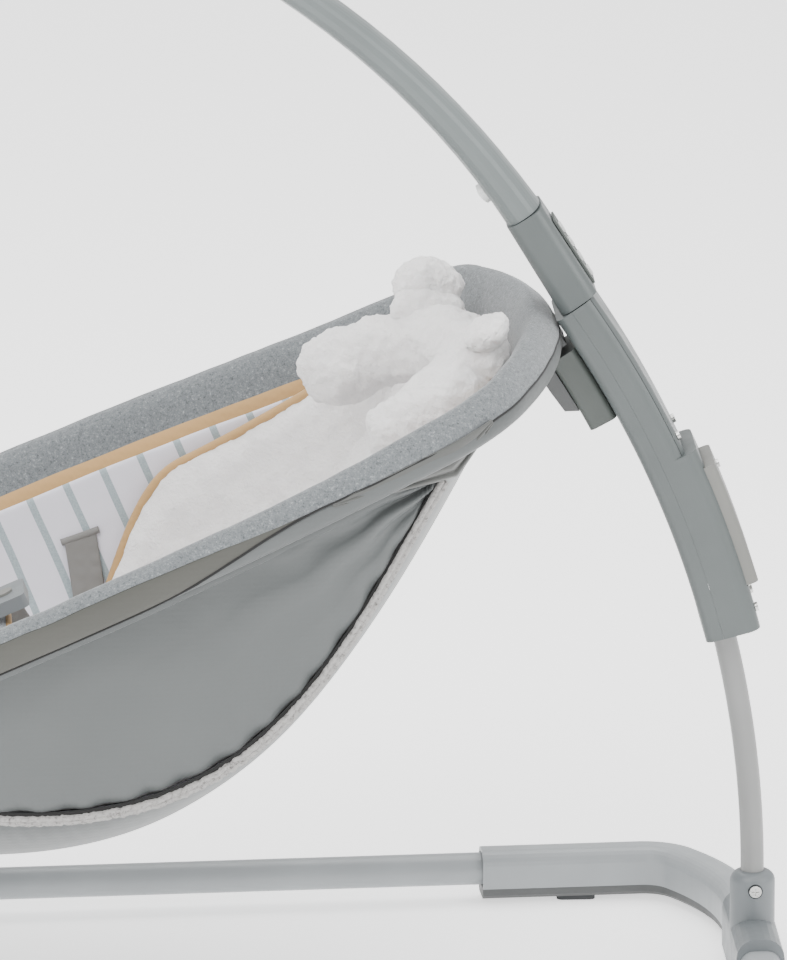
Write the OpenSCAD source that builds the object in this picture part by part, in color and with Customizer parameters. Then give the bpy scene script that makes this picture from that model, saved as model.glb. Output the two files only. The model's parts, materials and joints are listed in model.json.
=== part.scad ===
// Infant seat that rides up and down an arched rear post.
// +X is to the rear (the post's side), +Z is up. The seat is symmetric about Y = 0.
// The post, its housing and the seat's path are all concentric about the front pivots.

/* [Layout] */
// Distance of the post's foot behind the middle of the object
hub_x = 375; // [365:0.5:380]
// Distance from the post's foot forward to the seat's pivots
reach = 694; // [692:1:696]
// Height of the seat's pivots above the floor
pivot_z = 73; // [70:1:76]

/* [Post] */
// Outer diameter of the post tube
post_d = 15.5; // [14:0.5:16]
// Wall thickness of the steel tubes
tube_wall = 1.4; // [1:0.1:2]
// Half width of the drive housing
housing_half = 31; // [30:0.5:33]
// Wall thickness of the moulded shells
shell = 2.5; // [2:0.1:3]

/* [Seat] */
// Slope of the seat's rim
tilt = 22.9; // [20:0.1:25]
// Diameter of the seat ring tube
ring_d = 14; // [12:0.5:14]
// Greatest half width over the padded rim
seat_half = 221; // [215:1:225]
// Length of the padded rim from head to foot
seat_len = 674; // [670:1:676]
// Greatest depth of the seat below its rim
seat_depth = 189; // [170:1:200]

/* [Base] */
// Diameter of the floor rails
rail_d = 22; // [20:0.5:22]
// Height of the rails' centre line
rail_z = 22; // [20:1:24]
// Angle by which each rail opens towards the rear
splay = 3; // [2:0.5:4]

/* [Toys] */
// Radius of each hanging toy
toy_r = 26; // [20:1:30]

/* [Hidden] */
$fn = 48;
gap = 0.3;
fit = 0.05;
pivot_x = hub_x - reach;
post_r = 693;

// Colours
housing_grey = [0.53, 0.56, 0.56];
light_grey = [0.74, 0.75, 0.76];
dark_grey = [0.42, 0.43, 0.43];
steel = [0.67, 0.67, 0.66];
heather = [0.6, 0.62, 0.63];
nylon = [0.55, 0.57, 0.57];
tan = [0.8, 0.65, 0.42];
plush = [0.94, 0.93, 0.92];

// ---- Helpers ----

// Rounded rectangle from lo to hi along x and half to each side along y
module rounded(lo, hi, half, r) {
  translate([lo, r - half]) square([hi - lo, 2 * (half - r)]);
  translate([lo + r, -half]) square([hi - lo - 2 * r, 2 * half]);
  for (x = [lo + r, hi - r], y = [r - half, half - r])
    translate([x, y]) circle(r);
}

module ring(r, wall) {
  difference() {
    circle(r);
    circle(r - wall);
  }
}

// Sweeps an outline (radius, width) about the pivot axis, from angle a0 to a1 above the horizontal
module sweep_post(a0, a1)
  translate([pivot_x, 0, pivot_z]) rotate([90, 0, 0])
    rotate_extrude(angle = a1 - a0, start = a0, $fn = 360) children();

// Puts children at radius r and angle a about the pivots: x outward, z up along the post
module on_post(r, a)
  translate([pivot_x, 0, pivot_z]) rotate([0, -a, 0]) translate([r, 0, 0]) children();

// Closed solid through rings of equal point count
module loft(rings) {
  n = len(rings[0]);
  m = len(rings);
  polyhedron(
    points = [for (q = rings, p = q) p],
    faces = concat(
      [for (i = [0 : m - 2], j = [0 : n - 1]) [i * n + j, i * n + (j + 1) % n, (i + 1) * n + j]],
      [for (i = [0 : m - 2], j = [0 : n - 1])
        [i * n + (j + 1) % n, (i + 1) * n + (j + 1) % n, (i + 1) * n + j]],
      [[for (j = [n - 1 : -1 : 0]) j]],
      [[for (j = [0 : n - 1]) (m - 1) * n + j]]),
    convexity = 8);
}

// Closed loop through rings of equal point count, the last joined to the first
module loop_loft(rings) {
  n = len(rings[0]);
  m = len(rings);
  polyhedron(
    points = [for (q = rings, p = q) p],
    faces = concat(
      [for (i = [0 : m - 1], j = [0 : n - 1]) let (i2 = (i + 1) % m, j2 = (j + 1) % n)
        [i * n + j, i2 * n + j, i * n + j2]],
      [for (i = [0 : m - 1], j = [0 : n - 1]) let (i2 = (i + 1) % m, j2 = (j + 1) % n)
        [i * n + j2, i2 * n + j, i2 * n + j2]]),
    convexity = 8);
}

// Closed skin through rings that hold an outer row and then the inner row backwards
module skin_loft(rings) {
  n = len(rings[0]);
  m = len(rings);
  last = (m - 1) * n;
  polyhedron(
    points = [for (q = rings, p = q) p],
    faces = concat(
      [for (i = [0 : m - 2], j = [0 : n - 1]) [i * n + j, i * n + (j + 1) % n, (i + 1) * n + j]],
      [for (i = [0 : m - 2], j = [0 : n - 1])
        [i * n + (j + 1) % n, (i + 1) * n + (j + 1) % n, (i + 1) * n + j]],
      [for (j = [0 : n / 2 - 2]) [j + 1, j, n - 2 - j]],
      [for (j = [0 : n / 2 - 2]) [n - 2 - j, j, n - 1 - j]],
      [for (j = [0 : n / 2 - 2]) [last + j, last + j + 1, last + n - 2 - j]],
      [for (j = [0 : n / 2 - 2]) [last + j, last + n - 2 - j, last + n - 1 - j]]),
    convexity = 8);
}

// ---- Post: angles about the pivots ----
housing_lo = 14.2;
housing_hi = 34.6;
bulge_hi = 24.6;
door_lo = 16.6;
door_hi = 23.5;
front_r = 680;
part_r = 691.5;
rear_r = 709;
bulge_r = 717;
door_r = 724;
slot_half = 5;
end_cap = 0.45;

module post_tube()
  color(steel) sweep_post(-2.4, housing_lo + 0.55) translate([post_r, 0]) ring(post_d / 2, tube_wall);

// Front cover: the track that the seat's carriage runs along
module housing_front()
  color(housing_grey) difference() {
    sweep_post(housing_lo, housing_hi) intersection() {
      rounded(front_r, front_r + 60, housing_half, 6);
      translate([front_r, -40]) square([part_r - front_r, 80]);
    }
    sweep_post(housing_lo + end_cap, housing_hi - 0.2)
      translate([front_r + shell, shell - housing_half]) square([20, 2 * (housing_half - shell)]);
    sweep_post(15.9, 33) translate([front_r - 5, -slot_half]) square([20, 2 * slot_half]);
    sweep_post(housing_lo - 1, housing_lo + 0.6) translate([post_r, 0]) circle(post_d / 2 + fit);
    on_post(part_r - 2, 15.55) rotate([0, 90, 0]) cylinder(d = 3.1, h = 8, center = true);
  }

// Rear shell with the battery bay
module housing_rear()
  color(housing_grey) difference() {
    union() {
      sweep_post(housing_lo, housing_hi) intersection() {
        rounded(rear_r - 60, rear_r, housing_half, 9);
        translate([part_r + 0.1, -40]) square([60, 80]);
      }
      sweep_post(housing_lo, bulge_hi) intersection() {
        rounded(bulge_r - 60, bulge_r, housing_half, 9);
        translate([part_r + 0.1, -40]) square([60, 80]);
      }
    }
    sweep_post(housing_lo + end_cap, housing_hi + 1)
      translate([part_r - 1, shell - housing_half])
        square([rear_r - part_r + 1 - shell, 2 * (housing_half - shell)]);
    sweep_post(door_lo, door_hi)
      translate([part_r, -26.5]) square([60, 53]);
    sweep_post(housing_lo - 1, housing_lo + 0.6) translate([post_r, 0]) circle(post_d / 2 + fit);
    for (a = [15.3, 25.6], y = [-22, 22])
      on_post(rear_r, a) translate([0, y, 0]) rotate([0, 90, 0]) cylinder(d = 3.2, h = 40, center = true);
  }

// Raised door over the battery bay
module battery_door()
  color([0.59, 0.59, 0.56]) difference() {
    sweep_post(door_lo + 0.05, door_hi - 0.05) intersection() {
      rounded(door_r - 60, door_r, 26.2, 5);
      translate([bulge_r - 6, -40]) square([60, 80]);
    }
    sweep_post(door_lo + 0.25, door_hi - 0.25)
      translate([bulge_r - 8, -24]) square([8 + door_r - bulge_r - 2.2, 48]);
    on_post(door_r - 3, door_hi - 0.65) rotate([0, 90, 0]) cylinder(d = 3.2, h = 20, center = true);
  }

// Pan-head screw with a cross recess, pointing along -x with its head's top at the origin
module cross_screw(length, d = 3, head = 6) {
  rotate([0, -90, 0]) difference() {
    union() {
      cylinder(d = head, h = 2);
      cylinder(d = d, h = length);
    }
    for (a = [0, 90])
      rotate([0, 0, a]) cube([head * 0.6, 0.9, 2.4], center = true);
  }
}

module door_screw()
  color(steel) on_post(door_r + 2.05, door_hi - 0.65) cross_screw(6, 3, 5.6);

module housing_screws()
  color(steel) {
    for (y = [-22, 22]) {
      on_post(bulge_r + 2.05, 15.3) translate([0, y, 0]) cross_screw(24);
      on_post(rear_r + 2.05, 25.6) translate([0, y, 0]) cross_screw(16);
    }
  }

cell_r = 707.4;
cell_step = 2.17;
module batteries()
  color([0.72, 0.6, 0.35])
    for (i = [-1, 0, 1])
      on_post(cell_r, (door_lo + door_hi) / 2 + i * cell_step) rotate([90, 0, 0]) {
        cylinder(d = 26, h = 46.5, center = true);
        translate([0, 0, i == 0 ? -24.2 : 22.6]) cylinder(d = 7, h = 1.6);
      }

module battery_contacts()
  color(steel)
    for (side = [-1, 1])
      translate([0, side * 25.4, 0])
        for (i = [-1, 0, 1])
          on_post(cell_r, (door_lo + door_hi) / 2 + i * cell_step) cube([6.4, 0.8, 16], center = true);

module circuit_board()
  color([0.2, 0.45, 0.3]) on_post(695.5, 28.2) {
    cube([1.6, 44, 26], center = true);
    translate([2, 0, 5]) cube([3, 12, 12], center = true);
    translate([2.4, 14, -6]) rotate([0, 90, 0]) cylinder(d = 8, h = 3.8, center = true);
  }

// ---- Drive ----
pulley_r = 8;
belt_r = 687.6;
belt_d = 2.4;
top_pulley = 33;
low_pulley = 15.55;

module gear_motor()
  color([0.35, 0.36, 0.38]) difference() {
    union() {
      on_post(699.5, 32) cube([12, 26, 34], center = true);
      on_post(699.5, 30.3) cylinder(d = 12, h = 14, center = true);
    }
    on_post(699, top_pulley) rotate([0, 90, 0]) cylinder(r = 1.5 + fit, h = 40, center = true);
  }

// Grooved wheel about the x axis
module pulley(bore) {
  rotate([0, 90, 0]) rotate_extrude() difference() {
    translate([bore, -1.8]) square([pulley_r - bore, 3.6]);
    translate([pulley_r, 0]) circle(r = belt_d / 2 + 0.12);
  }
}

module drive_pulley()
  color([0.85, 0.85, 0.83]) {
    on_post(belt_r, top_pulley) pulley(1);
    on_post(695, top_pulley) rotate([0, 90, 0]) cylinder(r = 1.5, h = 17, center = true);
  }

module idler_pulley()
  color([0.85, 0.85, 0.83]) {
    on_post(belt_r, low_pulley) pulley(1);
    on_post(belt_r + 1, low_pulley) rotate([0, 90, 0]) cylinder(r = 1.5, h = 5.4, center = true);
  }

// Belt stations [distance up the post, y, outward distance part, outward y part]
top_u = belt_r * top_pulley * PI / 180;
low_u = belt_r * low_pulley * PI / 180;
function belt_turn(u, q0, q1) = [for (i = [0 : 12]) let (q = q0 + (q1 - q0) * i / 12)
  [u + pulley_r * cos(q), pulley_r * sin(q), cos(q), sin(q)]];
function belt_run(u0, u1, side) =
  [for (i = [1 : 15]) [u0 + (u1 - u0) * i / 16, side * pulley_r, 0, side]];
function belt_point(k, q) =
  let (a = (k[0] + belt_d / 2 * cos(q) * k[2]) / belt_r * 180 / PI, r = belt_r + belt_d / 2 * sin(q))
  [pivot_x + r * cos(a), k[1] + belt_d / 2 * cos(q) * k[3], pivot_z + r * sin(a)];

module drive_belt()
  color([0.15, 0.15, 0.16]) loop_loft([for (k = concat(
      belt_turn(top_u, -90, 90), belt_run(top_u, low_u, 1),
      belt_turn(low_u, 90, 270), belt_run(low_u, top_u, -1)))
    [for (j = [0 : 7]) belt_point(k, 45 * j)]]);

// ---- Neck: leans forward at neck_lean from the vertical ----
neck_base = [hub_x - 116.3, 0, 464.2];
neck_lean = 32;
neck_len = 73;

module on_neck() translate(neck_base) rotate([0, -neck_lean, 0]) children();

// Rounded block of half sizes a (x) and b (y), t high
module plate(a, b, r, t) linear_extrude(t) rounded(-a, a, b, r);

module neck_shell()
  color(housing_grey) difference() {
    on_neck() hull() {
      translate([0.5, 0, -1]) plate(14, housing_half, 9, 1);
      translate([0.5, 0, neck_len - 1]) plate(13.4, 22, 9, 1);
    }
    on_neck() hull() {
      translate([0.5, 0, -8]) plate(14 - shell, housing_half - shell, 7, 1);
      translate([0.5, 0, neck_len - 12]) plate(13 - shell, 21 - shell, 7, 1);
    }
    on_neck() translate([0, 0, neck_len - 30]) plate(7.3, 12.3, 2, 40);
    sweep_post(housing_lo, housing_hi + 0.05) translate([part_r - 20, -40]) square([60, 80]);
    for (i = [0 : 3]) on_neck() translate([14, 0, button_z(i)]) rotate([0, 90, 0])
      cylinder(r = 4 + 0.2, h = 20, center = true);
  }

// Curved label plate behind the neck that carries the buttons
module control_panel()
  color([0.32, 0.34, 0.35]) difference() {
    on_neck() translate([14.65, -12, 10]) cube([1.4, 24, 50]);
    for (i = [0 : 3]) on_neck() translate([14, 0, button_z(i)]) rotate([0, 90, 0])
      cylinder(r = 4 + 0.2, h = 20, center = true);
    for (i = [0 : 2]) on_neck() translate([15, 8.5, button_z(i)]) rotate([0, 90, 0])
      cylinder(r = 1 + fit, h = 10, center = true);
  }

module indicator_lights()
  color([0.5, 0.8, 0.55])
    for (i = [0 : 2]) on_neck() translate([14.7, 8.5, button_z(i)]) rotate([0, 90, 0])
      cylinder(r = 1, h = 1.8);

function button_z(i) = 16.5 + 11.5 * i;
module neck_button(i) on_neck() translate([11, 0, button_z(i)]) rotate([0, 90, 0]) {
    cylinder(r = 4, h = 6.4);
    cylinder(r = 4, h = 1);
  }

module power_button() color([0.9, 0.9, 0.88]) neck_button(3);
module speed_button() color([0.9, 0.9, 0.88]) neck_button(2);
module melody_button() color([0.9, 0.9, 0.88]) neck_button(1);
module volume_button() color([0.9, 0.9, 0.88]) neck_button(0);

module speaker()
  color([0.2, 0.2, 0.21]) on_post(700, 25.6) rotate([0, 90, 0]) {
    cylinder(d = 30, h = 4, center = true);
    translate([0, 0, 2]) cylinder(d1 = 14, d2 = 14, h = 2);
  }

// ---- Toy bar: an arc that starts at the neck's top ----
bar_centre = [hub_x - 627.3, 0, 207.6];
bar_r = 570;
bar_start = 34.05;
bar_end = 82;
function bar_point(a, dr, y) =
  bar_centre + [(bar_r + dr) * cos(a), y, (bar_r + dr) * sin(a)];
// Section of the bar at share f of its length: a flattened round, rounder at the tip
function bar_ring(f, n = 24) =
  let (a = bar_start + (bar_end - bar_start) * f, th = 13 - 5 * pow(f, 0.7), w = 21 - 7 * f)
  [for (j = [0 : n - 1]) let (q = 360 * j / n, c = cos(q), s = sin(q))
    bar_point(a, th * sign(c) * pow(abs(c), 0.75), -w * sign(s) * pow(abs(s), 0.75))];

module toy_bar()
  color([0.6, 0.63, 0.63]) difference() {
    union() {
      loft([for (i = [0 : 24]) bar_ring(i / 24)]);
      on_neck() translate([0, 0, neck_len - 28]) plate(7, 12, 2, 40);
    }
    translate(release_at) rotate([0, release_turn, 0]) translate([0, 0, -9]) cylinder(r = 7.3, h = 30);
    translate(bar_point(bar_end - 0.9, 0, 0)) rotate([90, 0, 0]) cylinder(r = 5 + fit, h = 80, center = true);
  }

release_a = 36.6;
release_at = bar_point(release_a, -13, 0);
release_turn = 270 - release_a;

module release_button()
  color([0.86, 0.87, 0.86]) translate(release_at) rotate([0, release_turn, 0]) {
    translate([0, 0, -4.5]) cylinder(r = 7, h = 5.5);
    translate([0, 0, 1]) rotate_extrude() intersection() {
      translate([0, -12.2]) circle(r = 15, $fn = 96);
      square([7, 6]);
    }
  }

module release_spring()
  color(steel) translate(release_at) rotate([0, release_turn, 0])
    for (i = [0 : 2]) translate([0, 0, -8.2 + i * 1.4])
      rotate_extrude() translate([4, 0]) circle(d = 0.9, $fn = 16);

cross_half = 70;
module toy_crossbar()
  color([0.6, 0.63, 0.63]) translate(bar_point(bar_end - 0.9, 0, 0)) rotate([90, 0, 0]) {
    cylinder(r = 5, h = 2 * cross_half, center = true);
    for (m = [0, 1]) mirror([0, 0, m]) translate([0, 0, cross_half - 5]) cylinder(r = 6.5, h = 5);
  }

toy_y = 56;
toy_pin = bar_point(bar_end - 0.9, 0, 0);
toy_drop = 62;
module toy(side)
  translate(toy_pin + [0, side * toy_y, 0]) {
    rotate([90, 0, 0]) rotate_extrude() translate([6.2, 0]) square([1.6, 10], center = true);
    translate([-1, -3, -toy_drop + toy_r - 4]) cube([2, 6, toy_drop - toy_r - 2]);
    translate([0, 0, -toy_drop]) sphere(toy_r);
    for (y = [-1, 1]) translate([0, y * toy_r * 0.75, -toy_drop + toy_r * 0.75]) sphere(toy_r * 0.36);
  }
module toy_left() color(plush) toy(-1);
module toy_right() color([0.75, 0.78, 0.8]) toy(1);

// ---- Base ----
bend_r = 32;
sweep_r = 196;
turn = 34;
plug_y = 45.3;
sweep_c = [hub_x - sweep_r, 69];
bend_c = sweep_c + (sweep_r - bend_r) * [cos(turn), sin(turn)];
rail_start = bend_c + bend_r * [-sin(splay), cos(splay)];
function rail_y(x) = rail_start[1] + (x - rail_start[0]) * tan(splay);
joint_len = 108;
tower_x = pivot_x;
side_y = rail_y(tower_x);

// Stations along the rear corner on the +Y side: [x, y, outward x part, outward y part]
function corner_arc(c, r, a0, a1, n) = [for (i = [0 : n]) let (a = a0 + (a1 - a0) * i / n)
  [c[0] + r * cos(a), c[1] + r * sin(a), cos(a), sin(a)]];
corner_path = concat(
  [[hub_x, plug_y, 1, 0]],
  corner_arc(sweep_c, sweep_r, 0, turn, 10),
  [for (k = [1 : 12]) corner_arc(bend_c, bend_r, turn, 90 + splay, 12)[k]],
  [concat(rail_start - joint_len * [cos(splay), sin(splay)], [-sin(splay), cos(splay)])]);
// Carries an outline of [outward, height] points along the corner
function corner_rings(outline) =
  [for (k = corner_path) [for (p = outline) [k[0] + p[0] * k[2], k[1] + p[0] * k[3], p[1]]]];

// Upper half of a rounded outline, from the right foot over the top to the left foot
function arch(half, lo, hi, r) = concat(
  [[half, lo]],
  [for (i = [0 : 5]) [half - r + r * cos(18 * i), hi - r + r * sin(18 * i)]],
  [for (i = [0 : 5]) [r - half - r * sin(18 * i), hi - r + r * cos(18 * i)]],
  [[-half, lo]]);

corner_half = 13.6;
corner_top = 36;
foot_top = rail_z - rail_d / 2 - 0.1;
pad_h = 3.5;
module corner() {
  outer = arch(corner_half, foot_top, corner_top, 9);
  inner = arch(rail_d / 2 + 2 * fit, foot_top, corner_top - 2.7, 8);
  skin_loft(corner_rings(concat(outer, [for (i = [len(inner) - 1 : -1 : 0]) inner[i]])));
}

module corner_left() color(light_grey) mirror([0, 1, 0]) corner();
module corner_right() color(light_grey) corner();

module corner_foot()
  loft(corner_rings([[12.6, foot_top], [-12.6, foot_top], [-12.6, 6], [-10, pad_h], [10, pad_h], [12.6, 6]]));

module corner_foot_left() color(dark_grey) mirror([0, 1, 0]) corner_foot();
module corner_foot_right() color(dark_grey) corner_foot();

module foot_pads()
  color([0.25, 0.26, 0.27])
    for (side = [-1, 1]) {
      translate([hub_x - 105, side * rail_y(hub_x - 105), 0]) plate(13, 8, 4, pad_h);
      translate([hub_x - 1, side * 78, 0]) plate(7, 12, 4, pad_h);
      translate([tower_x, side * side_y, 0]) plate(18, 12, 5, pad_h);
    }

hub_half = 58;
module rear_hub()
  color([0.5, 0.52, 0.53]) difference() {
    union() {
      translate([hub_x, hub_half, 0]) rotate([90, 0, 0]) linear_extrude(2 * hub_half) intersection() {
        polygon(arch(16, -20, 44, 13));
        translate([-20, 5]) square([40, 60]);
      }
      translate([hub_x - 0.8, 0, 0]) rotate_extrude() {
        translate([0, 6]) square([15, 62]);
        translate([0, 6]) square([8.2, 69]);
        translate([8, 68]) intersection() {
          circle(7);
          square(10);
        }
      }
    }
    difference() {
      translate([hub_x, 80, 0]) rotate([90, 0, 0]) linear_extrude(160) intersection() {
        polygon(arch(13.75, -20, corner_top + 0.15, 9.15));
        translate([-20, 2]) square([40, 60]);
      }
      translate([hub_x - 40, -17, -10]) cube([80, 34, 100]);
    }
    sweep_post(-2.5, 4) translate([post_r, 0]) circle(post_d / 2 + fit);
    translate([hub_x, 0, 64]) rotate([90, 0, 0]) cylinder(d = 4.2, h = 60, center = true);
    translate([hub_x, -13, 64]) rotate([90, 0, 0]) cylinder(r = 5, h = 10);
  }

module hub_screw()
  color(steel) translate([hub_x, -16, 64]) rotate([0, 0, -90]) cross_screw(5.8, 4, 8);

module rail()
  translate([rail_start[0], rail_start[1], rail_z]) rotate([0, 0, 180 + splay])
    translate([joint_len - 60, 0, 0]) rotate([0, 90, 0])
      linear_extrude((rail_start[0] - tower_x - 8) / cos(splay) - joint_len + 60)
        ring(rail_d / 2, tube_wall);
module rail_left() color(light_grey) mirror([0, 1, 0]) rail();
module rail_right() color(light_grey) rail();

front_bend = 37;
front_straight = 24;
module front_bar()
  color(light_grey) for (m = [0, 1]) mirror([0, m, 0]) {
    translate([tower_x - 6, side_y, rail_z]) rotate([0, 90, 0])
      translate([0, 0, 6 - front_straight]) linear_extrude(front_straight - 3) ring(rail_d / 2, tube_wall);
    translate([tower_x - front_straight, side_y - front_bend, rail_z]) rotate_extrude(angle = 90, start = 90)
      translate([front_bend, 0]) ring(rail_d / 2, tube_wall);
    translate([tower_x - front_straight - front_bend, 0, rail_z]) rotate([-90, 0, 0])
      linear_extrude(side_y - front_bend) ring(rail_d / 2, tube_wall);
  }

arm_y = side_y;
lug_t = 12;
pin_r = 4;
pin_half = lug_t / 2 + 8 + gap + 2;
module tower()
  difference() {
    union() {
      translate([tower_x, 0, 0]) linear_extrude(48) translate([0, side_y]) rounded(-22, 22, 16, 6);
      for (y = [arm_y - lug_t / 2 - 8, arm_y + lug_t / 2])
        translate([tower_x, y + 8, pivot_z]) rotate([90, 0, 0]) {
          cylinder(r = 16, h = 8);
          translate([-16, -40, 0]) cube([32, 40, 8]);
        }
    }
    translate([tower_x - 30, side_y, rail_z]) rotate([0, 90, 0]) cylinder(d = rail_d + 2 * fit, h = 30);
    translate([tower_x + 4, rail_y(tower_x + 4), rail_z]) rotate([0, 90, splay])
      cylinder(d = rail_d + 2 * fit, h = 40);
    translate([tower_x, arm_y, pivot_z]) rotate([90, 0, 0])
      cylinder(r = pin_r + fit, h = 60, center = true);
    translate([tower_x - 30, arm_y - lug_t / 2 - gap, pivot_z - 20]) cube([60, lug_t + 2 * gap, 60]);
    translate([tower_x - 40, side_y - 40, -1]) cube([80, 80, 1 + pad_h]);
  }
module tower_left() color(dark_grey) mirror([0, 1, 0]) tower();
module tower_right() color(dark_grey) tower();

// ---- Seat ring: tangent arcs in the rim's plane, x from head to foot ----
head_bow = 260;
head_corner = 100;
side_bow = 1200;
foot_corner = 140;
foot_bow = 250;
widest = 420;
head_c = [head_bow, 0];
side_c = [widest, seat_half - side_bow];
foot_c = [seat_len - foot_bow, 0];
// Crossing of two circles on the chosen side along x
function meet(c1, r1, c2, r2, way) =
  let (d = norm(c2 - c1), a = (r1 * r1 - r2 * r2 + d * d) / (2 * d), h = sqrt(r1 * r1 - a * a),
       u = (c2 - c1) / d, n = [-u[1], u[0]], p = c1 + a * u + h * n, q = c1 + a * u - h * n)
  way * (p[0] - q[0]) > 0 ? p : q;
head_k = meet(head_c, head_bow - head_corner, side_c, side_bow - head_corner, -1);
foot_k = meet(foot_c, foot_bow - foot_corner, side_c, side_bow - foot_corner, 1);
function aim(from, to) = atan2(to[1] - from[1], to[0] - from[0]);
a_head = aim(head_c, head_k);
a_side0 = aim(side_c, head_k);
a_side1 = aim(side_c, foot_k);
a_foot = aim(foot_c, foot_k);

// Half width at distance s from the head of the curve d inside the rim's outline
function rim_y(s, d) =
  let (hb = head_bow - d, hc = head_corner - d, sb = side_bow - d, fc = foot_corner - d, fb = foot_bow - d,
       t0 = head_k[0] + hc * cos(a_head), t1 = head_k[0] + hc * cos(a_side0),
       t2 = foot_k[0] + fc * cos(a_side1), t3 = foot_k[0] + fc * cos(a_foot))
  s < t0 ? sqrt(hb * hb - pow(head_bow - s, 2)) :
  s < t1 ? head_k[1] + sqrt(hc * hc - pow(s - head_k[0], 2)) :
  s < t2 ? side_c[1] + sqrt(sb * sb - pow(s - widest, 2)) :
  s < t3 ? foot_k[1] + sqrt(fc * fc - pow(s - foot_k[0], 2)) :
  sqrt(fb * fb - pow(s - foot_c[0], 2));

head_at = [hub_x - 132.5, 0, 452.7];
module on_seat() translate(head_at) rotate([0, -tilt, 0]) rotate([0, 0, 180]) children();

// Stations round the rim, each [centre, radius, angle], from the head's middle round the +y side
function arc_stations(c, r, a0, a1, n) = [for (i = [0 : n - 1]) [c, r, a0 + (a1 - a0) * i / n]];
half_rim = concat(
  arc_stations(head_c, head_bow, 180, a_head, 4),
  arc_stations(head_k, head_corner, a_head, a_side0, 6),
  arc_stations(side_c, side_bow, a_side0, a_side1, 9),
  arc_stations(foot_k, foot_corner, a_side1, a_foot, 6),
  arc_stations(foot_c, foot_bow, a_foot, 0, 6));
function rim_point(q, in_by, up, side) =
  [q[0][0] + (q[1] - in_by) * cos(q[2]), side * (q[0][1] + (q[1] - in_by) * sin(q[2])), up];
function rim_ring(q, side, outline) = [for (p = outline) rim_point(q, p[0], p[1], side)];
// Closed loop through the rim's stations; outline holds [inset, height] points
module rim_loop(outline)
  loop_loft(concat(
    [for (q = half_rim) rim_ring(q, 1, outline)],
    [rim_ring([foot_c, foot_bow, 0], 1, outline)],
    [for (i = [len(half_rim) - 1 : -1 : 1]) rim_ring(half_rim[i], -1, outline)]));

ring_in = 13;
module seat_ring() color(steel) on_seat()
  rim_loop([for (i = [0 : 11]) [ring_in + ring_d / 2 * cos(30 * i), ring_d / 2 * sin(30 * i)]]);

pad_up = 10;
pad_down = 12;
pad_in = 26;
module rim_pad()
  color(heather) on_seat() rim_loop([[0.5, -6], [5, -pad_down], [21, -pad_down], [pad_in, -6],
    [pad_in, 4], [21, pad_up], [8, pad_up], [0.5, 4]]);

// Moulded arm from the ring down and inward to the pivot
arm_s = 541;
arm_top_y = 199;
function on_plane(s, d) = // distance s along the rim and depth d below it, as the world's x and z
  [head_at[0] - s * cos(tilt) + d * sin(tilt), head_at[2] - s * sin(tilt) - d * cos(tilt)];
module arm()
  difference() {
    union() {
      loft([for (k = [[on_plane(arm_s - 17, 2), on_plane(arm_s + 17, 2), arm_top_y],
                      [[pivot_x + 22, pivot_z + 20], [pivot_x - 5, pivot_z + 26], arm_y],
                      [[pivot_x + 13, pivot_z], [pivot_x - 13, pivot_z], arm_y]])
        [for (p = [[k[0], 4], [k[1], 4], [k[1], -4], [k[0], -4]]) [p[0][0], k[2] + p[1], p[0][1]]]]);
      translate([pivot_x, arm_y + lug_t / 2, pivot_z]) rotate([90, 0, 0]) cylinder(r = 14, h = lug_t);
    }
    translate([pivot_x, arm_y, pivot_z]) rotate([90, 0, 0])
      cylinder(r = pin_r + 0.02, h = 40, center = true);
  }
module arm_left() color(dark_grey) mirror([0, 1, 0]) arm();
module arm_right() color(dark_grey) arm();

module pivot_pins()
  color(steel) for (m = [0, 1]) mirror([0, m, 0])
    translate([pivot_x, arm_y, pivot_z]) rotate([90, 0, 0]) {
      translate([0, 0, -pin_half]) cylinder(r = pin_r, h = 2 * pin_half);
      for (z = [-pin_half, pin_half - 2]) translate([0, 0, z]) cylinder(r = 6.5, h = 2);
    }

// Bracket from the ring's head to the carriage, with a saddle round the ring
hanger_side = [[660, 29.3], [651.5, 29.7], [650, 31], [649.5, 32.2], [651, 33.2], [660, 33.2]];
module hanger()
  color(dark_grey) difference() {
    union() {
      rotate([90, 0, 0]) linear_extrude(36, center = true)
        polygon([for (k = hanger_side) [pivot_x + k[0] * cos(k[1]), pivot_z + k[0] * sin(k[1])]]);
      sweep_post(33, 34.85) translate([654, -18]) square([22, 36]);
    }
    on_seat() translate([head_bow, 0, 0]) rotate_extrude($fn = 180)
      translate([head_bow - ring_in, 0]) circle(r = ring_d / 2 + fit);
  }

module carriage()
  color([0.38, 0.4, 0.37]) difference() {
    sweep_post(28, 32.6) rounded(660.2, front_r - 0.6, 21, 4);
    sweep_post(28.4, 32.2) translate([655, -15]) square([12, 30]);
    sweep_post(31.3, 32.45) translate([672, -3.9]) square([20, 7.8]);
  }

module slide_shoe()
  color([0.9, 0.9, 0.88]) {
    sweep_post(31.35, 32.4) translate([672.05, -3.8]) square([front_r + shell + 0.8 - 672.05, 7.6]);
    sweep_post(30.9, 32.6) translate([front_r + shell + 0.4, -6.3]) square([1.8, 12.6]);
  }

module belt_clamp()
  color([0.2, 0.2, 0.21]) difference() {
    sweep_post(31.5, 32.3) translate([front_r + shell + 2.3, 3]) square([4.5, 6.6]);
    sweep_post(31, 33) translate([belt_r, 8]) circle(d = belt_d + 0.24);
  }

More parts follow.
